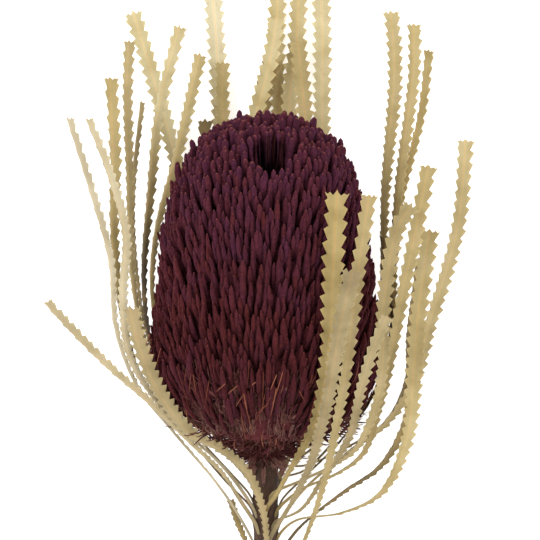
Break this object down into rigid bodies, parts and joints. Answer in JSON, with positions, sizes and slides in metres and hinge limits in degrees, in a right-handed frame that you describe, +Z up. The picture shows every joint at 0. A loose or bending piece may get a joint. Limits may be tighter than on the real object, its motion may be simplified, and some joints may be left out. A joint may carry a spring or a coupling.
{
  "type": "dried banksia flower stem",
  "caption": "Dried dyed banksia: an ovoid flower head packed with burgundy florets on a woody stem, ringed by long straw-coloured saw-toothed leaves, lying as a cut stem",
  "frame": {"origin": "On the surface the cut stem lies on, under the belly of the flower head, on the pressed-flat underside of the lowest leaf", "axes": "+Y runs along the stem from its cut end towards the tip of the flower head, +Z points up off the surface, +X points to the right as the picture shows the stem"},
  "size_m": [0.1713, 0.3056, 0.0987],
  "materials": {
    "florets": "matt, velvety",
    "stem": "rough bark",
    "leaves": "dry, matt"
  },
  "bodies": {
    "root": {"flower_head": "florets", "stem": "stem", "leaf_left_1": "leaves", "leaf_left_2": "leaves", "leaf_left_3": "leaves", "leaf_left_4": "leaves", "leaf_left_5": "leaves", "leaf_left_6": "leaves", "leaf_left_7": "leaves", "leaf_left_8": "leaves", "leaf_left_9": "leaves", "leaf_left_10": "leaves", "leaf_front_left": "leaves", "leaf_under_1": "leaves", "leaf_under_2": "leaves", "leaf_under_3": "leaves", "leaf_under_4": "leaves", "leaf_under_5": "leaves", "leaf_under_6": "leaves", "leaf_under_7": "leaves", "leaf_under_8": "leaves", "leaf_under_9": "leaves", "leaf_right_1": "leaves", "leaf_right_2": "leaves", "leaf_right_3": "leaves", "leaf_right_4": "leaves", "leaf_right_5": "leaves", "leaf_right_6": "leaves", "leaf_right_7": "leaves", "leaf_right_8": "leaves", "leaf_right_9": "leaves", "leaf_right_10": "leaves", "leaf_front_1": "leaves", "leaf_front_2": "leaves", "leaf_front_3": "leaves", "leaf_front_4": "leaves"}
  },
  "joints": []
}
